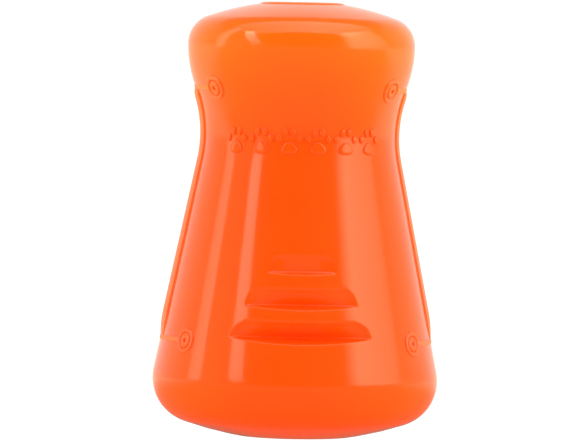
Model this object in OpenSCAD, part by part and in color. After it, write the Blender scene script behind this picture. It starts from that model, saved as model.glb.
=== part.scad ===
// Training bumper: a waisted, hollow, thick-walled rubber shell with a domed top and base.
// Two side rails are let into the flanks and held by eight push-in studs with retaining
// rings. A grommet lines the line hole in the top, and a ring with four sprung flaps closes
// the base opening. Millimetres, +Z up, front faces -Y, origin on the ground under the axis.

/* [Body] */
// Height over the dome, without the grommet
height = 125.6; // [124:0.2:128]
// Radius at the widest point of the base
base_r = 41.2; // [40:0.2:42]
// Radius at the waist
waist_r = 27.8; // [27:0.1:28.5]
// Radius at the widest point of the cap
cap_r = 32.8; // [32.4:0.1:33.4]
// Thickness of the rubber wall
wall = 8.5; // [7.5:0.5:9]
// Radius of the base opening
opening_r = 15; // [14.5:0.5:16]

/* [Curves] */
// Radius of the dome over the top
dome_r = 80; // [74:1:90]
// Radius of the shoulder between dome and cap
shoulder_r = 8.4; // [8:0.1:9]
// Radius of the bulge under the cap
bulge_r = 35; // [32:1:36]
// Radius of the hollow curve at the waist
hollow_r = 36; // [34:1:38]
// Radius of the rounding round the base
foot_r = 13; // [12:0.5:14]
// Radius of the shallow crown under the base
crown_r = 100; // [95:5:110]

/* [Grip notches] */
// Upper notch: ledge height, top height, half width at the ledge and at the top
notch_upper = [48.4, 53.0, 9.4, 7.4]; // [7:0.1:60]
// The same for the middle notch
notch_middle = [39.0, 43.8, 15.4, 12.4]; // [12:0.1:60]
// The same for the lower notch
notch_lower = [29.9, 34.6, 19.8, 15.6]; // [15:0.1:60]
// Slope of a notch's ledge, degrees
ledge_slope = 15; // [12:1:20]

/* [Side rails] */
// Half of the angle that a rail covers, degrees
rail_half = 9; // [8:0.5:12]
// How far a rail stands proud of the flank
rail_proud = 1; // [0.8:0.1:1.5]
// Depth of the pocket that a rail is let into
rail_depth = 1.4; // [1.2:0.1:1.8]
// Height of a cross strap
strap_h = 1.4; // [1.2:0.1:2.2]
// How far a strap stands proud of the flank
strap_proud = 0.25; // [0.2:0.05:0.5]

/* [Studs] */
// Angle of the studs from the front or back centre line, degrees
stud_angle = 56; // [54:1:58]
// Height of the upper studs
stud_upper_z = 100.2; // [98:0.2:101]
// Height of the lower studs
stud_lower_z = 28.1; // [27:0.1:30]
// Radius of a retaining ring
ring_r = 3.75; // [3.5:0.05:4]
// Radius of a stud's head
head_r = 2.3; // [2:0.05:2.5]

/* [Grommet] */
// Radius of the grommet's flange
flange_r = 12.4; // [12:0.1:13]
// Radius of the line hole
line_hole_r = 5.5; // [5:0.1:6]

/* [Gate] */
// Distance of the flap hinges from the axis
hinge_d = 9.4; // [9:0.1:9.8]
// Height of the flap hinges
hinge_z = 6; // [5.5:0.1:7]
// Thickness of a flap
flap_t = 1.8; // [1.4:0.1:2.2]

/* [Hidden] */
$fn = 96;
eps = 0.01;

// Angles round the axis: -90 is the front, 0 the right side, 180 the left side
front_left = -90 - stud_angle;
front_right = -90 + stud_angle;
back_left = 90 + stud_angle;
back_right = 90 - stud_angle;

// ---- Outline: a chain of tangent arcs from the axis at the top to the axis below ----

arc_step = 5; // degrees between points on an arc

function arc(c, r, a0, a1) =
    let (n = max(3, ceil(abs(a1 - a0) / arc_step)))
    [for (i = [0:n]) let (a = a0 + (a1 - a0) * i / n) [c[0] + r * cos(a), c[1] + r * sin(a)]];

// Points of the outline for the given radii; base_z is where its crown meets the axis
function outline(top_z, base_z, base, waist, cap, dome, shoulder, bulge, hollow, foot, crown) =
    let (dome_c = [0, top_z - dome],
         shoulder_c = [cap - shoulder,
             dome_c[1] + sqrt(pow(dome - shoulder, 2) - pow(cap - shoulder, 2))],
         shoulder_a = atan2(shoulder_c[1] - dome_c[1], shoulder_c[0]),
         bulge_c = [cap - bulge, shoulder_c[1]],
         hollow_x = waist + hollow,
         hollow_c = [hollow_x,
             bulge_c[1] - sqrt(pow(bulge + hollow, 2) - pow(hollow_x - bulge_c[0], 2))],
         bulge_a = atan2(hollow_c[1] - bulge_c[1], hollow_x - bulge_c[0]),
         crown_c = [0, base_z + crown],
         foot_c = [base - foot,
             crown_c[1] - sqrt(pow(crown - foot, 2) - pow(base - foot, 2))],
         foot_a = atan2(foot_c[1] - crown_c[1], foot_c[0]),
         gap = hollow_c - foot_c,
         flare_a = atan2(gap[1], gap[0]) - acos((foot + hollow) / norm(gap)))
    concat(
        arc(dome_c, dome, 90, shoulder_a),
        arc(shoulder_c, shoulder, shoulder_a, 0),
        arc(bulge_c, bulge, 0, bulge_a),
        arc(hollow_c, hollow, 180 + bulge_a, 180 + flare_a),
        arc(foot_c, foot, flare_a, foot_a),
        arc(crown_c, crown, foot_a, -90));

function tidy(points) = // drops the doubled points where two arcs meet
    [for (i = [0:len(points) - 1])
        if (i == 0 || norm(points[i] - points[max(0, i - 1)]) > 0.02) points[i]];

// The crown is cut off flat at z = 0, just outside the opening
rest_r = opening_r + 2;
crown_z = sqrt(pow(crown_r, 2) - pow(rest_r, 2)) - crown_r;
outer = tidy(outline(height, crown_z, base_r, waist_r, cap_r,
    dome_r, shoulder_r, bulge_r, hollow_r, foot_r, crown_r));

// The cavity's outline lies one wall thickness inside
cavity_top = height - 10;
cavity_base = 10;
inner = tidy(outline(cavity_top, cavity_base, base_r - wall - 0.5, waist_r - wall, cap_r - wall,
    dome_r - 10, 6, bulge_r - wall, hollow_r + wall, 8, crown_r + 10));

// Outer radius at a height above the widest point of the base
flank = [for (i = [len(outer) - 1:-1:0]) if (outer[i][1] > 18) [outer[i][1], outer[i][0]]];
function flank_r(z) = lookup(z, flank);
// Lean of the surface there: degrees that its normal tilts up
function flank_tilt(z) = atan2(flank_r(z - 0.5) - flank_r(z + 0.5), 1);

// ---- Helpers ----

// A band of the flank between two offsets from its surface, over an angle a0 to a1
module flank_band(z0, z1, in, out, a0, a1, ends = 0) {
    n = ceil((z1 - z0) / 2.5);
    zs = [for (i = [0:n]) z0 + (z1 - z0) * i / n];
    function fade(z) = ends == 0 ? 1 : min(1, (z - z0 + 0.4) / ends, (z1 - z + 0.4) / ends * 3);
    rotate(a0) rotate_extrude(angle = a1 - a0)
        polygon(concat([for (z = zs) [flank_r(z) + out * fade(z), z]],
            [for (i = [n:-1:0]) [flank_r(zs[i]) + in, zs[i]]]));
}

// Places its children on the flank at a stud's place, with +Z along the surface's normal
module at_stud(angle, z) {
    rotate(angle) translate([flank_r(z), 0, z]) rotate([0, 90 - flank_tilt(z), 0]) children();
}

module at_all_studs() {
    for (angle = [front_left, front_right, back_left, back_right], z = [stud_upper_z, stud_lower_z])
        at_stud(angle, z) children();
}

// ---- Body shell ----

// The wall behind a notch runs from an arc on the surface at its top edge to a straight
// line at its ledge, which slopes down and out from there. Its ends lean in towards the top
module notch(ledge_z, top_z, half_w, top_half_w) {
    r_top = flank_r(top_z) / cos(arc_step / 2);
    r_ledge = flank_r(ledge_z);
    chord = sqrt(r_ledge * r_ledge - half_w * half_w);
    end = half_w - 0.4; // short end walls close the notch just before it runs out
    knee = (end + top_half_w) / 2 + 0.6; // rounds the upper corner
    side = [[end, ledge_z - 10], [end, ledge_z], [knee, (ledge_z + top_z) / 2 + 0.5],
        [top_half_w, top_z + 0.1]];
    difference() {
        intersection() {
            rotate([90, 0, 0]) linear_extrude(60)
                polygon(concat(side, [for (i = [3:-1:0]) [-side[i][0], side[i][1]]]));
            translate([0, -chord, ledge_z]) rotate([ledge_slope, 0, 0])
                translate([-half_w - 1, -30, 0]) cube([2 * half_w + 2, 60, 30]);
        }
        hull() {
            translate([0, 0, top_z]) linear_extrude(eps)
                polygon(concat([[0, 0]], arc([0, 0], r_top, -125, -55)));
            translate([-half_w, -chord, ledge_z - 1]) cube([2 * half_w, chord, 1]);
        }
    }
}

paw_count = 6;
paw_pitch = 17; // degrees from one paw print to the next
paw_z = 85.2;
relief = 0.5;

module paw() { // a print seen along the X axis, which points out of the wall
    translate([0, 0, -1.6]) rotate([0, 90, 0]) cylinder(r = 2.2, h = 40);
    for (toe = [[-2.85, 1.0], [-1.05, 3.0], [1.05, 3.0], [2.85, 1.0]])
        translate([0, toe[0], toe[1]]) rotate([0, 90, 0]) cylinder(r = 0.9, h = 40);
}

module paw_relief() {
    intersection() {
        flank_band(78, 92, -2, relief, -150, -30);
        for (i = [0:paw_count - 1])
            rotate(-90 + (i - (paw_count - 1) / 2) * paw_pitch) translate([0, 0, paw_z]) paw();
    }
}

groove_r = opening_r + 2.2; // groove in the opening that holds the gate ring
groove_h = 3;
shank_r = 1.3;
shank_l = 6;
eye_t = 1.2; // thickness of a rail's eye under a ring
ring_t = 1.0;

module stud_hole() {
    translate([0, 0, -eye_t - ring_t]) cylinder(r = ring_r + 0.05, h = 8);
    translate([0, 0, -shank_l - 1.2]) cylinder(r = shank_r, h = 8);
    translate([0, 0, -shank_l - 0.4]) cylinder(r = shank_r + 0.7, h = 2);
}

module rail_pockets() {
    for (side = [0, 180]) {
        rail_band(side, 4);
        for (z = [stud_upper_z, stud_lower_z]) strap_band(side, z, 4);
    }
}

module body_shell() {
    color([0.95, 0.33, 0.05]) {
        difference() {
            rotate_extrude() polygon(outer);
            rotate_extrude() polygon(inner);
            translate([0, 0, -5]) cylinder(r = opening_r, h = 20);
            translate([0, 0, -10]) cylinder(r = 60, h = 10);
            translate([0, 0, hinge_z - groove_h / 2]) cylinder(r = groove_r, h = groove_h);
            translate([0, 0, height - 20]) cylinder(r = sleeve_r, h = 30);
            translate([0, 0, flange_z]) cylinder(r = flange_r + 0.05, h = 10);
            for (turn = [0, 180], n = [notch_upper, notch_middle, notch_lower])
                rotate(turn) notch(n[0], n[1], n[2], n[3]);
            rail_pockets();
            at_all_studs() stud_hole();
        }
        for (turn = [0, 180]) rotate(turn) paw_relief();
    }
}

// ---- Side rails ----

rail_z0 = stud_lower_z;
rail_z1 = stud_upper_z;

module rail_band(side, out) {
    flank_band(rail_z0, rail_z1, -rail_depth, out, side - rail_half, side + rail_half,
        ends = out > 3 ? 0 : 8);
}

module strap_band(side, z, out) {
    reach = 90 - stud_angle; // from the flank's middle to a stud
    flank_band(z - strap_h / 2, z + strap_h / 2, -rail_depth, out, side - reach, side + reach);
}

module side_rail(side) {
    color([0.90, 0.30, 0.04]) difference() {
        union() {
            rail_band(side, rail_proud);
            for (z = [stud_upper_z, stud_lower_z]) {
                strap_band(side, z, strap_proud);
                for (turn = [-1, 1]) at_stud(side + turn * (90 - stud_angle), z)
                    translate([0, 0, -eye_t - ring_t]) cylinder(r = ring_r, h = eye_t);
            }
        }
        for (z = [stud_upper_z, stud_lower_z], turn = [-1, 1])
            at_stud(side + turn * (90 - stud_angle), z) {
                translate([0, 0, -8]) cylinder(r = shank_r, h = 12);
                translate([0, 0, -ring_t]) cylinder(r = ring_r + 0.05, h = 6);
            }
    }
}

// ---- Studs and retaining rings, drawn along +Z with the flank's surface at z = 0 ----

module stud(angle, z) {
    color([0.97, 0.36, 0.06]) at_stud(angle, z) difference() {
        union() {
            translate([0, 0, -shank_l]) cylinder(r = shank_r, h = shank_l);
            translate([0, 0, -shank_l]) rotate_extrude()
                polygon([[0, 0], [shank_r, 0], [shank_r + 0.6, 0.9], [shank_r, 1.3], [0, 1.3]]);
            translate([0, 0, -ring_t]) rotate_extrude()
                polygon([[0, 0], [head_r - 0.05, 0], [head_r - 0.05, ring_t + 0.05],
                    [head_r - 0.35, ring_t + 0.3], [0, ring_t + 0.4]]);
        }
        translate([0, 0, -0.4]) cylinder(r = 0.55, h = 2);
    }
}

module retaining_ring(angle, z) {
    color([0.97, 0.36, 0.06]) at_stud(angle, z) translate([0, 0, -ring_t]) rotate_extrude()
        polygon([[head_r, 0], [ring_r, 0], [ring_r, ring_t], [ring_r - 0.3, ring_t + 0.35],
            [head_r + 0.3, ring_t + 0.35], [head_r, ring_t]]);
}

// ---- Top grommet: a flange over a sleeve through the top wall ----

sleeve_r = 8.5;
sleeve_l = 12;
flange_t = 1.3;
flange_z = height - 1.9; // underside of the flange

module top_grommet() {
    color([0.80, 0.27, 0.05]) translate([0, 0, flange_z]) rotate_extrude()
        polygon([[line_hole_r, -sleeve_l + flange_t], [sleeve_r, -sleeve_l + flange_t],
            [sleeve_r, 0], [flange_r, 0], [flange_r, flange_t - 0.5],
            [flange_r - 0.5, flange_t], [sleeve_r, flange_t + 0.2],
            [line_hole_r + 0.8, flange_t + 0.2], [line_hole_r, flange_t - 0.4]]);
}

// ---- Gate: a ring snapped into the opening's groove, with a flap hinged on each side ----

hinge_gap = 0.3;

module gate_ring() {
    window = hinge_d + flap_t / 2 + hinge_gap;
    color([0.85, 0.28, 0.04]) translate([0, 0, hinge_z]) difference() {
        union() {
            translate([0, 0, -groove_h / 2]) cylinder(r = groove_r, h = groove_h);
            translate([0, 0, -groove_h / 2]) cylinder(r = opening_r, h = groove_h + 1.6);
        }
        translate([0, 0, -5]) intersection() {
            translate([-window, -window, 0]) cube([2 * window, 2 * window, 12]);
            cylinder(r = opening_r - 1.6, h = 12);
        }
    }
}

// A flap lies along +X from the axis out to its hinge; angle turns it to its side
module gate_flap(angle) {
    slot = 0.5; // half of the slot between two flaps
    half_l = sqrt(pow(opening_r - 1.9, 2) - pow(hinge_d + flap_t / 2, 2)) - 0.2;
    color([0.88, 0.30, 0.05]) rotate(angle) translate([0, 0, hinge_z]) {
        translate([0, 0, -flap_t / 2]) linear_extrude(flap_t) intersection() {
            polygon([[2.2, 2.2 - slot * 1.42], [hinge_d, half_l], [hinge_d, -half_l],
                [2.2, -2.2 + slot * 1.42]]);
            polygon([[0, -slot * 1.42], [20, 20 - slot * 1.42], [20, -20 + slot * 1.42]]);
        }
        translate([hinge_d, half_l, 0]) rotate([90, 0, 0])
            cylinder(r = flap_t / 2, h = 2 * half_l, $fn = 48);
    }
}

body_shell();
side_rail(180);  // left_side_rail
side_rail(0);  // right_side_rail
stud(front_left, stud_upper_z);  // stud_front_left_upper
stud(front_left, stud_lower_z);  // stud_front_left_lower
stud(front_right, stud_upper_z);  // stud_front_right_upper
stud(front_right, stud_lower_z);  // stud_front_right_lower
stud(back_left, stud_upper_z);  // stud_back_left_upper
stud(back_left, stud_lower_z);  // stud_back_left_lower
stud(back_right, stud_upper_z);  // stud_back_right_upper
stud(back_right, stud_lower_z);  // stud_back_right_lower
retaining_ring(front_left, stud_upper_z);  // ring_front_left_upper
retaining_ring(front_left, stud_lower_z);  // ring_front_left_lower
retaining_ring(front_right, stud_upper_z);  // ring_front_right_upper
retaining_ring(front_right, stud_lower_z);  // ring_front_right_lower
retaining_ring(back_left, stud_upper_z);  // ring_back_left_upper
retaining_ring(back_left, stud_lower_z);  // ring_back_left_lower
retaining_ring(back_right, stud_upper_z);  // ring_back_right_upper
retaining_ring(back_right, stud_lower_z);  // ring_back_right_lower
top_grommet();
gate_ring();
gate_flap(-90);  // gate_flap_front
gate_flap(0);  // gate_flap_right
gate_flap(90);  // gate_flap_back
gate_flap(180);  // gate_flap_left
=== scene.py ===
"""Looks of the training bumper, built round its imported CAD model.

+Z is up and the front faces -Y. Shapes are worked out in millimetres from the CAD's driving
sizes, which are repeated here, and the shell's outline is the same chain of tangent arcs. The
stage is in metres.
"""
import math

import bmesh
import bpy
import numpy as np
from mathutils import Matrix, Vector

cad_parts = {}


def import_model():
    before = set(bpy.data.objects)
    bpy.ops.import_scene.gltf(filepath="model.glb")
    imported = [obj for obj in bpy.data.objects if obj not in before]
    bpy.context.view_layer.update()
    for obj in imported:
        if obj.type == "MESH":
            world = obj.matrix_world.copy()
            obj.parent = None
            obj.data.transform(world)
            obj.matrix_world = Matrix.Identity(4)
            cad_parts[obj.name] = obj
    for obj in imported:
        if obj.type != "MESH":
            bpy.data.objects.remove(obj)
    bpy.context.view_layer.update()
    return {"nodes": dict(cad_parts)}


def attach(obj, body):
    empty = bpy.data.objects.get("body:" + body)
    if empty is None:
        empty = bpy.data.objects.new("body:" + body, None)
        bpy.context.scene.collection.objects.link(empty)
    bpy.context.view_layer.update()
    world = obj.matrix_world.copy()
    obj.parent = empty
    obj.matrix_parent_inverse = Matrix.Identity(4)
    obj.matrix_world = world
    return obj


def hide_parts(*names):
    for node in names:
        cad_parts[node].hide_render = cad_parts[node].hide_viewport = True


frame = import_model()
MM = 0.001

# ---- Driving sizes, in millimetres as in the CAD ----

HEIGHT = 125.6  # over the dome, without the grommet
# radii of the body at its base, waist and cap, then of the arcs that its outline is made of
OUTER = dict(base=41.2, waist=27.8, cap=32.8, dome=80.0, shoulder=8.4, bulge=35.0,
             hollow=36.0, foot=13.0, crown=100.0)
WALL = 8.5
BASE_WALL = WALL + 0.5  # thickness of the flank at the widest point of the base
END_WALL = 10.0  # thickness above and below the cavity, on the axis
CAVITY_SHOULDER = 6.0
CAVITY_FOOT = 8.0
OPENING_R = 15.0
REST_R = OPENING_R + 2.0  # outer radius of the flat ring that the bumper stands on
SLEEVE_R = 8.5
SLEEVE_L = 12.0
FLANGE_R = 12.4
FLANGE_T = 1.3
FLANGE_Z = HEIGHT - 1.9
LINE_HOLE_R = 5.5
NOTCHES = (  # ledge height, top height, half width at the ledge and at the top
    (29.9, 34.6, 19.8, 15.6), (39.0, 43.8, 15.4, 12.4), (48.4, 53.0, 9.4, 7.4))
LEDGE_SLOPE = math.radians(15.0)
RAIL_HALF = math.radians(9.0)
RAIL_PROUD = 1.0
STRAP_H = 1.4
STUD_ANGLE = math.radians(56.0)
STUD_Z = {"upper": 100.2, "lower": 28.1}
HEAD_R = 2.3
SHANK_R = 1.3
SHANK_L = 6.0
RING_R = 3.75
RING_T = 1.0

# ---- Finer sizes of the visible shapes, in millimetres or shares ----

LIP_ROUND = 1.0  # rounding of a notch's outer edges
CREASE_ROUND = 1.6  # rounding of the crease between a notch's wall and its ledge
LIP_LEAST = 0.3  # least height of the band of mesh rows along a ledge
NOTCH_INSET = 0.45  # step down from the flank all round a notch's upper edge and ends
NOTCH_EDGE = 0.9  # half the width of that step
FLARE = 0.2  # how far the flank widens for each millimetre down, at the notches
NEAR_ANGLE, NEAR_BELOW, NEAR_ABOVE = 0.75, 6.0, 4.0  # how far a notch can reach, in radians and mm
RAIL_SHOULDER = 0.55  # a rail is crowned: its edges stand this share as proud as its middle
RAIL_EDGE = 0.35  # rounding along a rail's edges
RAIL_FILLET = 0.1  # fillet at the foot of a rail's edges
RAIL_RUN_OUT = 8.0  # a rail rises over this length at its lower end, and a third at its upper
RAIL_END = 0.4  # length of that rise left out, so that a rail's ends stand a little proud
SEAT_GAP = 0.05  # gap between the grommet's flange and its seat
STRAP_PROUD = 0.22
RAIL_BURIED = 0.4  # how far the rails' bars reach into the wall below them
STRAP_BURIED = 0.5  # the same for the straps

RAIL_ROWS, STRAP_ROWS = 60, 40
DENSE_ANGLE = 36  # degrees to either side of a notch's centre line with close mesh columns
DENSE_COLUMNS, SPARSE_COLUMNS = 165, 38

FLANK_LOW, FLANK_HIGH = 18.0, 115.0  # the flank's radius is looked up between these heights
NOTCHED_LOW, NOTCHED_HIGH = 18.5, 108.0  # the rows between these follow the notches

PAW_COUNT = 6
PAW_PITCH = math.radians(17)
PAW_Z = 85.2
PAW_RELIEF = 0.5
PAW_PADS = (  # across, up, half width, half height, how much the pad narrows upwards
    (0.0, -1.6, 2.25, 1.85, 0.35),
    (-2.85, 1.0, 0.85, 1.1, 0.0), (-1.05, 2.9, 0.85, 1.15, 0.0),
    (1.05, 2.9, 0.85, 1.15, 0.0), (2.85, 1.0, 0.85, 1.1, 0.0))
PAD_DOME = (  # share of a pad's size, and share of the relief that the pad stands up there
    (0.45, 0.985), (0.7, 0.93), (0.84, 0.8), (0.93, 0.55), (0.985, 0.2), (1.0, -0.5))


# ---- Outline ----

def arc(centre, radius, start, stop, step=2.0):
    """Points along an arc, angles in degrees."""
    n = max(3, math.ceil(abs(stop - start) / step))
    angles = np.radians(np.linspace(start, stop, n + 1))
    return np.c_[centre[0] + radius * np.cos(angles), centre[1] + radius * np.sin(angles)]


def outline(top_z, base_z, base, waist, cap, dome, shoulder, bulge, hollow, foot, crown):
    """The chain of tangent arcs from the axis at the top to the axis at the base."""
    dome_c = np.array([0.0, top_z - dome])
    rise = math.sqrt((dome - shoulder) ** 2 - (cap - shoulder) ** 2)
    shoulder_c = np.array([cap - shoulder, dome_c[1] + rise])
    shoulder_a = math.degrees(math.atan2(rise, shoulder_c[0]))
    bulge_c = np.array([cap - bulge, shoulder_c[1]])
    hollow_x = waist + hollow
    drop = math.sqrt((bulge + hollow) ** 2 - (hollow_x - bulge_c[0]) ** 2)
    hollow_c = np.array([hollow_x, bulge_c[1] - drop])
    bulge_a = math.degrees(math.atan2(-drop, hollow_x - bulge_c[0]))
    crown_c = np.array([0.0, base_z + crown])
    sink = math.sqrt((crown - foot) ** 2 - (base - foot) ** 2)
    foot_c = np.array([base - foot, crown_c[1] - sink])
    foot_a = math.degrees(math.atan2(-sink, foot_c[0]))
    gap = hollow_c - foot_c
    flare_a = math.degrees(math.atan2(gap[1], gap[0])
                           - math.acos((foot + hollow) / np.linalg.norm(gap)))
    parts = (arc(dome_c, dome, 90, shoulder_a), arc(shoulder_c, shoulder, shoulder_a, 0, 3.0),
             arc(bulge_c, bulge, 0, bulge_a), arc(hollow_c, hollow, 180 + bulge_a, 180 + flare_a),
             arc(foot_c, foot, flare_a, foot_a), arc(crown_c, crown, foot_a, -90))
    points = np.vstack(parts)
    keep = [True] + [np.linalg.norm(b - a) > 0.02 for a, b in zip(points, points[1:])]
    return points[keep]


# the crown is cut off flat at z = 0, just outside the opening
crown_z = math.sqrt(OUTER["crown"] ** 2 - REST_R ** 2) - OUTER["crown"]
outer = outline(HEIGHT, crown_z, **OUTER)
inner = outline(HEIGHT - END_WALL, END_WALL, base=OUTER["base"] - BASE_WALL,
                waist=OUTER["waist"] - WALL, cap=OUTER["cap"] - WALL,
                dome=OUTER["dome"] - END_WALL, shoulder=CAVITY_SHOULDER,
                bulge=OUTER["bulge"] - WALL, hollow=OUTER["hollow"] + WALL, foot=CAVITY_FOOT,
                crown=OUTER["crown"] + END_WALL)
flank = outer[(outer[:, 1] > FLANK_LOW) & (outer[:, 1] < FLANK_HIGH)][::-1]


def flank_r(z):
    """Radius of the plain flank at a height, between the base's and the cap's widest points."""
    return np.interp(z, flank[:, 1], flank[:, 0])


def flank_tilt(z):
    """How far the flank's normal leans up at a height, in radians."""
    return np.arctan2(flank_r(z - 0.5) - flank_r(z + 0.5), 1.0)


def on_flank(angle, z, lift):
    """A point over the flank: angle from the front, height and distance off the surface."""
    tilt = flank_tilt(z)
    r = flank_r(z) + lift * np.cos(tilt)
    return np.stack([r * np.sin(angle), -r * np.cos(angle), z + lift * np.sin(tilt)], -1)


# ---- Shader node helpers ----

def put(tree, kind, inputs=(), **settings):
    """Adds a shader node. inputs are (socket, value) pairs, and a value from a node is linked."""
    node = tree.nodes.new(kind)
    for key, value in settings.items():
        setattr(node, key, value)
    for key, value in inputs:
        if isinstance(value, bpy.types.NodeSocket):
            tree.links.new(value, node.inputs[key])
        else:
            node.inputs[key].default_value = value
    return node


def maths(tree, operation, *values):
    return put(tree, "ShaderNodeMath", enumerate(values), operation=operation).outputs[0]


def map_range(tree, value, from_min, from_max, to_min, to_max):
    inputs = (("Value", value), ("From Min", from_min), ("From Max", from_max),
              ("To Min", to_min), ("To Max", to_max))
    return put(tree, "ShaderNodeMapRange", inputs).outputs["Result"]


def mix_colour(tree, share, low, high, mode="MIX"):
    inputs = (("Factor", share), ("A", low), ("B", high))
    return put(tree, "ShaderNodeMix", inputs, data_type="RGBA", blend_type=mode).outputs["Result"]


def ray_switch(tree, plain, camera_side, glossy_side):
    """Mixes three shaders: for camera rays, for reflections, and plain for all the rest."""
    path = put(tree, "ShaderNodeLightPath")
    first = put(tree, "ShaderNodeMixShader",
                (("Fac", path.outputs["Is Glossy Ray"]), (1, plain), (2, glossy_side)))
    second = put(tree, "ShaderNodeMixShader",
                 (("Fac", path.outputs["Is Camera Ray"]), (1, first.outputs[0]), (2, camera_side)))
    return second.outputs[0]


# ---- Materials ----

RUBBERS = {  # slot: base colour, roughness, specular level
    "shell_rubber": ((0.98, 0.073, 0.002), 0.1, 0.5),
    "rail_rubber": ((0.9, 0.115, 0.009), 0.4, 0.3),
    "stud_rubber": ((0.94, 0.085, 0.003), 0.2, 0.5),
    "ring_rubber": ((0.92, 0.085, 0.003), 0.2, 0.5),
    "grommet_rubber": ((0.82, 0.08, 0.005), 0.3, 0.5),
    "gate_rubber": ((0.85, 0.08, 0.004), 0.3, 0.5)}
PAINTED_LIGHT_LOW, PAINTED_LIGHT_HIGH = 80 * MM, 116 * MM  # painted light: the colour turns lighter and yellower between these heights, in place of the stronger light from above on the cap
PAINTED_LIGHT_POWER = 1.7
PAINTED_LIGHT_GREEN, PAINTED_LIGHT_BLUE = 1.7, 1.4  # what the turned colour's green and blue are multiplied by
SUBSURFACE = 0.12
SUBSURFACE_DEPTH = 3 * MM
MOTTLE = 0.04  # how far the colour's brightness varies either way
PATCHES = 0.15  # how far the roughness varies either way
GRAIN = 0.012 * MM  # depth of the moulded skin's grain
GRAIN_STRENGTH = 0.35
CLOUD_SCALE, PATCH_SCALE, GRAIN_SCALE = 55, 140, 1400  # noise cells in a metre


def rubber(name, colour, roughness, specular):
    """Moulded rubber: a slightly uneven colour, patchy gloss and a fine moulded skin, with painted
    light that makes the colour lighter and yellower towards the cap.
    """
    mat = bpy.data.materials.new(name)
    mat.use_nodes = True
    tree = mat.node_tree
    shader = tree.nodes["Principled BSDF"]
    shader.inputs["IOR"].default_value = 1.5
    shader.inputs["Specular IOR Level"].default_value = specular
    shader.inputs["Subsurface Weight"].default_value = SUBSURFACE
    shader.inputs["Subsurface Radius"].default_value = (1.0, 0.25, 0.08)
    shader.inputs["Subsurface Scale"].default_value = SUBSURFACE_DEPTH
    place = put(tree, "ShaderNodeTexCoord").outputs["Object"]

    def noise(scale, detail):
        inputs = (("Vector", place), ("Scale", scale), ("Detail", detail))
        return put(tree, "ShaderNodeTexNoise", inputs).outputs["Fac"]

    # painted light: the colour turns a little lighter and yellower from the waist up to the cap, in
    # place of the stronger light from above there
    height = put(tree, "ShaderNodeSeparateXYZ", ((0, place),)).outputs["Z"]
    rise = maths(tree, "POWER", map_range(tree, height, PAINTED_LIGHT_LOW, PAINTED_LIGHT_HIGH, 0, 1), PAINTED_LIGHT_POWER)
    red, green, blue = colour
    turned = (red, green * PAINTED_LIGHT_GREEN, blue * PAINTED_LIGHT_BLUE, 1)
    body = mix_colour(tree, rise, (*colour, 1), turned)
    clouds = map_range(tree, noise(CLOUD_SCALE, 3), 0, 1, 1 - MOTTLE, 1 + MOTTLE)
    skin = mix_colour(tree, 1.0, body, clouds, "MULTIPLY")
    patches = map_range(tree, noise(PATCH_SCALE, 4), 0, 1,
                        roughness * (1 - PATCHES), roughness * (1 + PATCHES))
    bump = put(tree, "ShaderNodeBump",
               (("Strength", GRAIN_STRENGTH), ("Distance", GRAIN), ("Height", noise(GRAIN_SCALE, 2))))
    tree.links.new(skin, shader.inputs["Base Color"])
    tree.links.new(patches, shader.inputs["Roughness"])
    tree.links.new(bump.outputs["Normal"], shader.inputs["Normal"])
    return mat


materials = {slot: rubber(slot, *look) for slot, look in RUBBERS.items()}


def dress(obj, slot):
    """Gives an object the material of a slot."""
    obj.data.materials.clear()
    obj.data.materials.append(materials[slot])


# ---- Mesh helpers ----

def grid_faces(rows, cols, wrap_rows, start):
    """Quads over a grid of points stored row by row. Each row is a closed loop."""
    faces = []
    for i in range(rows if wrap_rows else rows - 1):
        for j in range(cols):
            a, b = i * cols + j, i * cols + (j + 1) % cols
            c, d = ((i + 1) % rows) * cols + (j + 1) % cols, ((i + 1) % rows) * cols + j
            faces.append((start + a, start + b, start + c, start + d))
    return faces


class Builder:
    """Collects the closed islands of one piece, in millimetres, and makes the piece."""

    def __init__(self):
        self.verts, self.faces = [], []

    def grid(self, points, wrap_rows=False, caps=False):
        """A skin over rows of points, each a closed loop. It is closed too, by wrapping the
        last row back to the first or by capping both."""
        points = np.asarray(points, float)
        rows, cols = points.shape[:2]
        start = len(self.verts)
        self.verts.extend(points.reshape(-1, 3))
        self.faces.extend(grid_faces(rows, cols, wrap_rows, start))
        if caps:
            first = [start + j for j in range(cols)]
            last = [start + (rows - 1) * cols + j for j in range(cols)]
            self.faces.append(tuple(reversed(first)))
            self.faces.append(tuple(last))

    def revolve(self, profile, matrix, segments=48, closed=True):
        """A profile of (radius, height) points turned round +Z, then placed."""
        a = np.linspace(0, 2 * math.pi, segments, endpoint=False)
        points = np.stack([np.stack([r * np.cos(a), r * np.sin(a), np.full_like(a, z)], -1)
                           for r, z in profile])
        m = np.array(matrix)
        self.grid(points @ m[:3, :3].T + m[:3, 3], wrap_rows=closed, caps=not closed)

    def piece(self, name, node, slot):
        """One object that rides on the body and is shown in place of a CAD node."""
        mesh = bpy.data.meshes.new(name)
        mesh.from_pydata([tuple(v) for v in np.asarray(self.verts) * MM], [], self.faces)
        mesh.validate()
        mesh.polygons.foreach_set("use_smooth", [True] * len(mesh.polygons))
        bm = bmesh.new()
        bm.from_mesh(mesh)
        bmesh.ops.recalc_face_normals(bm, faces=bm.faces)
        bm.to_mesh(mesh)
        bm.free()
        obj = bpy.data.objects.new(name, mesh)
        bpy.context.collection.objects.link(obj)
        dress(obj, slot)
        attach(obj, "root")
        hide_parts(node)


def smooth_min(a, b, k):
    h = np.clip(0.5 + 0.5 * (b - a) / k, 0, 1)
    return b * (1 - h) + a * h - k * h * (1 - h)


def smooth_max(a, b, k):
    return -smooth_min(-a, -b, k)


def smooth_step(a, b, x):
    """0 at a, 1 at b."""
    t = np.clip((x - a) / (b - a), 0, 1)
    return t * t * (3 - 2 * t)


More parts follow.
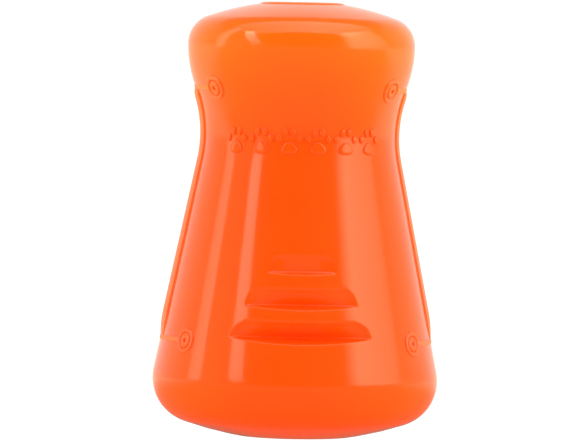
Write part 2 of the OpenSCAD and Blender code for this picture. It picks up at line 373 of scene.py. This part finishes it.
def rounded(points, radius, steps=4):
    """Rounds the corners of an open run of points with small curves."""
    points = [np.array(p, float) for p in points]
    out = [points[0]]
    for a, b, c in zip(points, points[1:], points[2:]):
        u, v = (a - b), (c - b)
        reach = min(radius, np.linalg.norm(u) * 0.45, np.linalg.norm(v) * 0.45)
        p0, p1 = b + u / np.linalg.norm(u) * reach, b + v / np.linalg.norm(v) * reach
        out += [(1 - t) ** 2 * p0 + 2 * t * (1 - t) * b + t * t * p1
                for t in np.linspace(0, 1, steps + 1)]
    out.append(points[-1])
    return out


# ---- Body shell ----

def ledge_chord(ledge_z, half_w):
    """How far in front of the axis a notch's straight inner line lies."""
    return math.sqrt(flank_r(ledge_z) ** 2 - half_w ** 2)


def notched_r(phi, z, r_plain):
    """Radius of the shell at angles phi from a notch's centre line, with the three notches."""
    r = r_plain.copy()
    for ledge_z, top_z, half_w, top_half_w in NOTCHES:
        r_top = flank_r(top_z)
        chord = ledge_chord(ledge_z, half_w)
        near = (np.abs(phi) < NEAR_ANGLE) & (z > ledge_z - NEAR_BELOW) & (z < top_z + NEAR_ABOVE)
        p, zz, plain = phi[near], z[near], r_plain[near]
        t = np.clip((top_z - zz) / (top_z - ledge_z), -1, 1.5)  # 0 at the top, 1 at the ledge
        # the wall runs from an arc at the top to the straight line at the ledge. Each pass
        # brings the radius nearer to where the ray at angle p meets it, within 6 mm outside
        cut = plain.copy()
        for _ in range(6):
            x = cut * np.sin(p)
            y_top = np.sqrt(np.maximum(r_top ** 2 - x ** 2, 1.0))
            wall_y = y_top * (1 - t) + chord * t - NOTCH_INSET
            ledge_y = chord + (ledge_z - zz) / math.tan(LEDGE_SLOPE)
            cut = smooth_max(wall_y, ledge_y, CREASE_ROUND) / np.cos(p)
            cut = np.minimum(cut, plain + 6)
        # the ends lean in towards the top, and more steeply at the rounded upper corners
        up = np.clip(1 - t, 0, 1)
        end = half_w + 0.1 - (half_w - top_half_w) * (0.55 * up + 0.45 * up ** 4)
        across = smooth_step(end + NOTCH_EDGE, end - NOTCH_EDGE, np.abs(plain * np.sin(p)))
        over = smooth_step(top_z + NOTCH_EDGE, top_z - NOTCH_EDGE, zz)
        new = plain - across * over * (plain - smooth_min(plain, cut, LIP_ROUND))
        r[near] = np.minimum(r[near], new)
    return r


def lip_drop(phi, ledge_z, half_w):
    """How far the ledge's lip hangs below its inner line at an angle from the centre line."""
    depth = np.maximum(flank_r(ledge_z) * np.cos(phi) - ledge_chord(ledge_z, half_w), 0)
    slope = math.tan(LEDGE_SLOPE)
    return np.hypot(depth * slope / (1 - FLARE * slope), LIP_LEAST)


def shell_angles():
    """Column angles: close together across the notches, wider over the flanks."""
    dense = np.radians(np.linspace(-DENSE_ANGLE, DENSE_ANGLE, DENSE_COLUMNS))
    sparse = np.radians(np.linspace(DENSE_ANGLE, 180 - DENSE_ANGLE, SPARSE_COLUMNS))[1:-1]
    half = np.r_[dense, sparse]
    return np.r_[half, half + math.pi]


def notched_rows(phi):
    """Heights of the rows from the foot to the shoulder, bent along the notches' lips."""
    flat = np.ones_like(phi)
    # the rows gather at each lip, crease and upper edge; counts are the rows in each stretch
    lines, counts = [NOTCHED_LOW * flat], []
    for ledge_z, top_z, half_w, _ in NOTCHES:
        lip = ledge_z - lip_drop(phi, ledge_z, half_w)
        lines += [lip - 0.5, lip + 0.1, lip + 0.3 * (ledge_z - lip) + 0.1, ledge_z * flat,
                  (ledge_z + 0.7) * flat, (top_z - 0.8) * flat, (top_z + 0.8) * flat]
        counts += [5 if counts else 6, 4, 3, 5, 4, 9, 7]
    lines.append(NOTCHED_HIGH * flat)
    counts.append(26)
    rows = [lines[0]]
    for a, b, n in zip(lines, lines[1:], counts):
        rows += [a + (b - a) * (i + 1) / n for i in range(n)]
    return rows


def paw_prints(build, turn):
    """A row of raised paw prints moulded on the waist. turn is 0 in front."""
    loop = np.linspace(0, 2 * math.pi, 28, endpoint=False)
    for i in range(PAW_COUNT):
        centre = turn + (i - (PAW_COUNT - 1) / 2) * PAW_PITCH
        for across, up, half_w, half_h, taper in PAW_PADS:
            rows = []
            for share, lift in PAD_DOME:
                v = half_h * share * np.sin(loop)
                u = half_w * share * np.cos(loop) * (1 - taper * np.sin(loop) * share)
                angle = centre + (across + u) / OUTER["waist"]
                rows.append(on_flank(angle, PAW_Z + up + v, PAW_RELIEF * lift))
            build.grid(rows, caps=True)


def body_shell():
    theta = shell_angles()
    phi = (theta + math.pi / 2) % math.pi - math.pi / 2  # from the nearer of front and back
    # the grommet's seat, with a rounded rim, and the dome round it
    dome = outer[outer[:, 1] > HEIGHT - 5.0]
    rim_z = float(np.interp(FLANGE_R + 0.3, dome[:, 0], dome[:, 1]))
    seat = [(SLEEVE_R, FLANGE_Z), (FLANGE_R + SEAT_GAP, FLANGE_Z),
            (FLANGE_R + SEAT_GAP, rim_z - 0.35), (FLANGE_R + 0.15, rim_z - 0.1),
            (FLANGE_R + 0.4, rim_z)]
    top = outer[(outer[:, 0] > FLANGE_R + 0.4) & (outer[:, 1] > NOTCHED_HIGH + 0.2)]
    # round the foot, over the crown, up the opening and through the cavity
    low = outer[(outer[:, 1] < NOTCHED_LOW - 0.1) & (outer[:, 0] > REST_R + 0.2)][::2]
    opening = [(REST_R, 0), (OPENING_R + 0.6, 0), (OPENING_R + 0.17, 0.18), (OPENING_R, 0.6),
               (OPENING_R, END_WALL)]
    cavity = inner[::-1]
    cavity = cavity[(cavity[:, 0] > OPENING_R + 0.3) | (cavity[:, 1] > HEIGHT / 2)]
    cavity = cavity[cavity[:, 0] > SLEEVE_R + 0.2][::8]
    sleeve = [(SLEEVE_R, cavity[-1][1])]

    rows = [(r, z) for r, z in (*seat, *top)]
    rows += [(notched_r(phi, z, flank_r(z)), z) for z in notched_rows(phi)[::-1]]
    rows += [(r, z) for r, z in (*low, *opening, *cavity, *sleeve)]
    points = [np.stack([r * np.sin(theta), -r * np.cos(theta), z + 0 * theta], -1)
              for r, z in rows]
    build = Builder()
    build.grid(points, wrap_rows=True)
    for turn in (0, math.pi):
        paw_prints(build, turn)
    build.piece("shell_rubber_body", "body_shell", "shell_rubber")


# ---- Side rails ----

def rail_bar(build, side):
    """The raised bar down one flank, crowned and with rounded edges. side is its angle."""
    z0, z1 = STUD_Z["lower"], STUD_Z["upper"]
    quarter = np.linspace(0, math.pi / 2, 6)
    rows = []
    for z in np.linspace(z0, z1, RAIL_ROWS):
        fade = min(1, (z - z0 + RAIL_END) / RAIL_RUN_OUT, 3 * (z1 - z + RAIL_END) / RAIL_RUN_OUT)
        proud = RAIL_PROUD * math.sin(fade * math.pi / 2)
        half = RAIL_HALF * flank_r(z)
        shoulder = RAIL_SHOULDER * proud
        edge = min(RAIL_EDGE, shoulder * 0.7)
        foot = min(RAIL_FILLET, shoulder * 0.2)
        face = [(half * s, shoulder + (proud - shoulder) * (1 - s * s))
                for s in (0, 0.3, 0.55, 0.75)]
        corner = [(half - edge + edge * math.sin(a), shoulder - edge + edge * math.cos(a))
                  for a in quarter]
        fillet = [(half + foot - foot * math.cos(a), foot - foot * math.sin(a)) for a in quarter]
        right = face + corner + fillet + [(half + foot, -RAIL_BURIED)]
        left = [(-u, w) for u, w in right[:0:-1]]
        u, w = np.array(left + right).T
        rows.append(on_flank(side + u / flank_r(z), np.full_like(u, z), w))
    build.grid(rows, caps=True)


def strap(build, side, z):
    """A low rounded strap across a rail's end, from one stud's ring to the other's."""
    reach = math.pi / 2 - STUD_ANGLE - (RING_R - 0.3) / flank_r(z)
    t = np.linspace(0, math.pi, 12)
    dz = np.r_[-STRAP_H / 2 * np.cos(t), STRAP_H / 2, -STRAP_H / 2]
    lift = np.r_[STRAP_PROUD * np.sin(t) ** 0.8, -STRAP_BURIED, -STRAP_BURIED]
    rows = [on_flank(np.full_like(dz, side + a), z + dz, lift)
            for a in np.linspace(-reach, reach, STRAP_ROWS)]
    build.grid(rows, caps=True)


def side_rail(node, side):
    """A rail with its two cross straps. side is its angle from the front."""
    build = Builder()
    rail_bar(build, side)
    for z in (STUD_Z["lower"], STUD_Z["upper"]):
        strap(build, side, z)
    build.piece(node + "_rubber", node, "rail_rubber")


# ---- Studs and rings ----

def stud_matrix(angle, z):
    """Stands +Z along the flank's normal at a stud. angle is measured from the front."""
    r, tilt = float(flank_r(z)), float(flank_tilt(z))
    place = Matrix.Translation((r * math.sin(angle), -r * math.cos(angle), z))
    turn = Matrix.Rotation(angle - math.pi / 2, 4, "Z")
    lean = Matrix.Rotation(math.pi / 2 - tilt, 4, "Y")
    return place @ turn @ lean


def stud(node, angle, z):
    """A push-in stud: a head with a small socket and a crowned face, and its shank."""
    head = rounded([(0.02, -0.15), (0.5, -0.15), (0.58, 0.42), (HEAD_R - 0.75, 0.5),
                    (HEAD_R - 0.12, 0.25), (HEAD_R - 0.08, -RING_T)], 0.25)
    shank = [(SHANK_R, -RING_T), (SHANK_R, -SHANK_L), (0.02, -SHANK_L)]
    build = Builder()
    build.revolve(head + shank, stud_matrix(angle, z), closed=False)
    build.piece(node + "_rubber", node, "stud_rubber")


def retaining_ring(node, angle, z):
    """The ring round a stud's head."""
    body = rounded([(HEAD_R, -RING_T), (HEAD_R, 0.1), (HEAD_R + 0.45, 0.42),
                    (RING_R - 0.35, 0.36), (RING_R, -0.05), (RING_R, -RING_T)], 0.3)
    build = Builder()
    build.revolve(body, stud_matrix(angle, z))
    build.piece(node + "_rubber", node, "ring_rubber")


# ---- Grommet ----

def top_grommet():
    """A flange with a slightly raised face over a sleeve, with the line hole through it."""
    sleeve_z = FLANGE_T - SLEEVE_L
    body = rounded([(LINE_HOLE_R, sleeve_z), (LINE_HOLE_R, FLANGE_T - 0.4),
                    (LINE_HOLE_R + 0.9, FLANGE_T + 0.2), (SLEEVE_R + 1.1, FLANGE_T + 0.2),
                    (FLANGE_R - 0.7, FLANGE_T), (FLANGE_R, FLANGE_T - 0.4), (FLANGE_R, 0),
                    (SLEEVE_R, 0), (SLEEVE_R, sleeve_z)], 0.4)
    build = Builder()
    build.revolve(body, Matrix.Translation((0, 0, FLANGE_Z)), segments=96)
    build.piece("top_grommet_rubber", "top_grommet", "grommet_rubber")


# ---- The pieces ----

body_shell()
for node, side in (("right_side_rail", math.pi / 2), ("left_side_rail", -math.pi / 2)):
    side_rail(node, side)
for face, back in (("front", False), ("back", True)):
    for hand, sign in (("left", -1), ("right", 1)):
        for level, z in STUD_Z.items():
            angle = sign * (math.pi - STUD_ANGLE if back else STUD_ANGLE)
            place = f"{face}_{hand}_{level}"
            stud("stud_" + place, angle, z)
            retaining_ring("ring_" + place, angle, z)
top_grommet()
# the gate's shapes are the CAD's own
for node in ("gate_ring", "gate_flap_front", "gate_flap_right", "gate_flap_back",
             "gate_flap_left"):
    dress(frame["nodes"][node], "gate_rubber")

# ---- Camera ----

CAMERA_AZIMUTH = math.radians(-2.5)
CAMERA_ELEVATION = math.radians(2.0)
CAMERA_DISTANCE = 1.59
CAMERA_ROLL = math.radians(1.17)
CAMERA_LENS = 336.7
AIM = Vector((0, 0, 0.0621))  # the point that the camera looks at, before AIM_RIGHT
AIM_RIGHT = -0.00116  # how far the camera and its aim are moved to the right


def camera():
    back = Vector((math.sin(CAMERA_AZIMUTH) * math.cos(CAMERA_ELEVATION),
                   -math.cos(CAMERA_AZIMUTH) * math.cos(CAMERA_ELEVATION),
                   math.sin(CAMERA_ELEVATION)))
    right = Vector((math.cos(CAMERA_AZIMUTH), math.sin(CAMERA_AZIMUTH), 0))
    up = back.cross(right)
    c, s = math.cos(CAMERA_ROLL), math.sin(CAMERA_ROLL)
    rolled_right = right * c + up * s
    rolled_up = up * c - right * s
    place = AIM + right * AIM_RIGHT + back * CAMERA_DISTANCE
    data = bpy.data.cameras.new("camera")
    data.lens = CAMERA_LENS
    data.sensor_width = 36
    data.clip_end = 50
    cam = bpy.data.objects.new("camera", data)
    cam.matrix_world = Matrix((
        (rolled_right.x, rolled_up.x, back.x, place.x),
        (rolled_right.y, rolled_up.y, back.y, place.y),
        (rolled_right.z, rolled_up.z, back.z, place.z),
        (0, 0, 0, 1)))
    bpy.context.collection.objects.link(cam)
    bpy.context.scene.camera = cam


# ---- Lights ----

def panel(name, place, turn, width, height, glow, colour, up, across):
    """A light for reflections, which throws no diffuse light. glow is its radiance; up and
    across are stops of (position, share of the glow) from the lower and the left edge, as it
    looks out."""
    data = bpy.data.lights.new(name, "AREA")
    data.shape = "RECTANGLE"
    data.size, data.size_y = width, height
    data.energy = glow * math.pi * width * height
    data.color = colour
    data.use_nodes = True
    tree = data.node_tree
    geometry = put(tree, "ShaderNodeNewGeometry")
    split = put(tree, "ShaderNodeSeparateXYZ", ((0, geometry.outputs["Parametric"]),))
    shares = []
    for key, stops in (("X", across), ("Y", up)):
        node = put(tree, "ShaderNodeValToRGB", (("Fac", split.outputs[key]),))
        ramp = node.color_ramp
        while len(ramp.elements) < len(stops):
            ramp.elements.new(0.5)
        for element, (position, share) in zip(ramp.elements, stops):
            element.position = position
            element.color = (share, share, share, 1)
        shares.append(node.outputs["Color"])
    tree.links.new(maths(tree, "MULTIPLY", *shares), tree.nodes["Emission"].inputs["Strength"])
    light = bpy.data.objects.new(name, data)
    light.matrix_world = Matrix.Translation(place) @ turn.to_4x4()
    light.visible_diffuse = False
    bpy.context.collection.objects.link(light)


def upright(name, azimuth, distance, width, bottom, top, slant=0, **look):
    """A standing panel, seen from the object at an azimuth (0 is the front, 90 the right).
    slant leans it sideways in its own plane."""
    a = math.radians(azimuth)
    out = Vector((math.sin(a), -math.cos(a), 0))
    turn = out.to_track_quat("Z", "Y").to_matrix()
    turn = turn @ Matrix.Rotation(math.radians(slant), 3, "Z")
    place = out * distance + Vector((0, 0, (top + bottom) / 2))
    panel(name, place, turn, width, top - bottom, **look)


def overhead(name, lean, distance, width, depth, **look):
    """A panel above, leaning towards the front by an angle."""
    a = math.radians(lean)
    place = Vector((0, -math.sin(a), math.cos(a))) * distance + AIM
    panel(name, place, Matrix.Rotation(a, 3, "X"), width, depth, **look)


EVEN = ((0, 1), (1, 1))


def lights():
    upright("strip_left", azimuth=-58, distance=1.2, width=0.25, bottom=0.07, top=1.3, slant=22,
            glow=6.9, colour=(1, 0.94, 0.71), up=((0, 0.16), (1, 1)), across=EVEN)
    upright("side_left", azimuth=-92, distance=1.3, width=0.3, bottom=0.07, top=1.5,
            glow=2.7, colour=(1, 0.93, 0.68), up=((0, 0.8), (1, 1)), across=((0, 0.5), (1, 1)))
    upright("wide_right", azimuth=66, distance=1.3, width=1.3, bottom=0.07, top=1.5,
            glow=4.7, colour=(1, 0.93, 0.61), up=((0, 0.58), (1, 1)),
            across=((0, 0), (0.25, 1), (1, 0.25)))
    overhead("overhead", lean=12, distance=1.1, width=2.4, depth=1.1,
             glow=2.3, colour=(1, 0.95, 0.8), up=EVEN,
             across=((0, 0.2), (0.55, 1), (0.7, 0.9), (1, 0.2)))


# ---- Floor ----

WHITE = (1, 1, 1, 1)
FLOOR_HALF = 12.0
FLOOR_SEEN = 1.1  # strength to the camera
FLOOR_THROWN = 1.43  # strength of the light that it throws on the object
FLOOR_BOUNCE = (1.0, 0.73, 0.55, 1)  # colour of the light thrown close to the object
FLOOR_FRONT = (0.28, 0.25, 0.17, 1)  # colour in reflections, in front
FLOOR_BEHIND = (1.0, 0.92, 0.75, 1)  # the same, behind the object
# each is a start and an end in metres, and the values there
FLOOR_CLEAR = (0.04, 0.06, 0.0, 1.0)  # share of white in the thrown light, by distance
FLOOR_NEAR = (0.04, 0.12, 0.62, 1.0)  # strength in reflections, by distance: lower close to the object, a painted shadow of the object on the floor
FLOOR_DEPTH = (-0.03, 0.17, 0.0, 1.0)  # share of FLOOR_BEHIND, from the front to the back


def floor():
    mesh = bpy.data.meshes.new("floor")
    s = FLOOR_HALF
    mesh.from_pydata([(-s, -s, 0), (s, -s, 0), (s, s, 0), (-s, s, 0)], [], [(0, 1, 2, 3)])
    obj = bpy.data.objects.new("floor", mesh)
    bpy.context.collection.objects.link(obj)
    mat = bpy.data.materials.new("floor_white")
    mat.use_nodes = True
    tree = mat.node_tree
    tree.nodes.remove(tree.nodes["Principled BSDF"])

    def glow(strength, colour):
        inputs = (("Strength", strength), ("Color", colour))
        return put(tree, "ShaderNodeEmission", inputs).outputs[0]

    # close to the object the floor throws light in the object's colour, in place of light bounced off
    # the object; in reflections it is darker in front, and darker close to the object as a painted
    # shadow
    place = put(tree, "ShaderNodeTexCoord").outputs["Object"]
    distance = put(tree, "ShaderNodeVectorMath", ((0, place),), operation="LENGTH").outputs["Value"]
    depth = put(tree, "ShaderNodeSeparateXYZ", ((0, place),)).outputs["Y"]
    thrown = glow(FLOOR_THROWN, mix_colour(tree, map_range(tree, distance, *FLOOR_CLEAR),
                                           FLOOR_BOUNCE, WHITE))
    mirrored = glow(map_range(tree, distance, *FLOOR_NEAR),
                    mix_colour(tree, map_range(tree, depth, *FLOOR_DEPTH),
                               FLOOR_FRONT, FLOOR_BEHIND))
    out = ray_switch(tree, thrown, glow(FLOOR_SEEN, WHITE), mirrored)
    tree.links.new(out, tree.nodes["Material Output"].inputs["Surface"])
    mesh.materials.append(mat)


# ---- World ----

WORLD_SEEN = 1.1  # strength to the camera
ROOM_DARK = 0.02  # strength in reflections outside the backdrop
# the backdrop shows in reflections only, and comes up between these shares of straight back
BACKDROP_START, BACKDROP_FULL = 0.05, 0.85
BACKDROP_GLOW = 1.0
BACKDROP_COLOUR = (1, 0.91, 0.86, 1)
BACKDROP_TOP, BACKDROP_FADE = 0.62, 0.06  # share of straight up where it starts to fade
BACKDROP_ABOVE = 0.4  # share of its glow that is left above
SOFT_SIDES, SOFT_RIGHT, SOFT_UP, SOFT_FRONT = 7.1, 0.4, 0.8, 0.3  # strengths of soft light
SOFT_POWER = 4.0  # how narrowly the soft light gathers at the sides


def world():
    """White to the camera, a backdrop and a dark room in reflections, and soft light."""
    scene_world = bpy.data.worlds.new("studio")
    bpy.context.scene.world = scene_world
    scene_world.use_nodes = True
    tree = scene_world.node_tree

    def background(strength, colour=WHITE):
        inputs = (("Color", colour), ("Strength", strength))
        return put(tree, "ShaderNodeBackground", inputs).outputs[0]

    coords = put(tree, "ShaderNodeTexCoord")
    x, y, z = put(tree, "ShaderNodeSeparateXYZ", ((0, coords.outputs["Generated"]),)).outputs
    backdrop = maths(
        tree, "MULTIPLY",
        map_range(tree, y, BACKDROP_START, BACKDROP_FULL, ROOM_DARK, BACKDROP_GLOW),
        map_range(tree, z, BACKDROP_TOP, BACKDROP_TOP + BACKDROP_FADE, 1.0, BACKDROP_ABOVE))
    # soft light comes from the sides, the right one a little stronger, from above and below,
    # and a little from the front
    soft = maths(tree, "POWER", maths(tree, "ABSOLUTE", x), SOFT_POWER)
    soft = maths(tree, "MULTIPLY", soft, SOFT_SIDES)
    soft = maths(tree, "MULTIPLY_ADD", x, SOFT_RIGHT, soft)
    soft = maths(tree, "MULTIPLY_ADD", maths(tree, "MULTIPLY", z, z), SOFT_UP, soft)
    front = maths(tree, "MAXIMUM", maths(tree, "MULTIPLY", y, -SOFT_FRONT), 0.0)
    soft = maths(tree, "MAXIMUM", maths(tree, "ADD", soft, front), 0.0)
    out = ray_switch(tree, background(soft), background(WORLD_SEEN),
                     background(backdrop, BACKDROP_COLOUR))
    tree.links.new(out, tree.nodes["World Output"].inputs["Surface"])


bpy.context.scene.view_settings.view_transform = "Standard"
camera()
floor()
world()
lights()
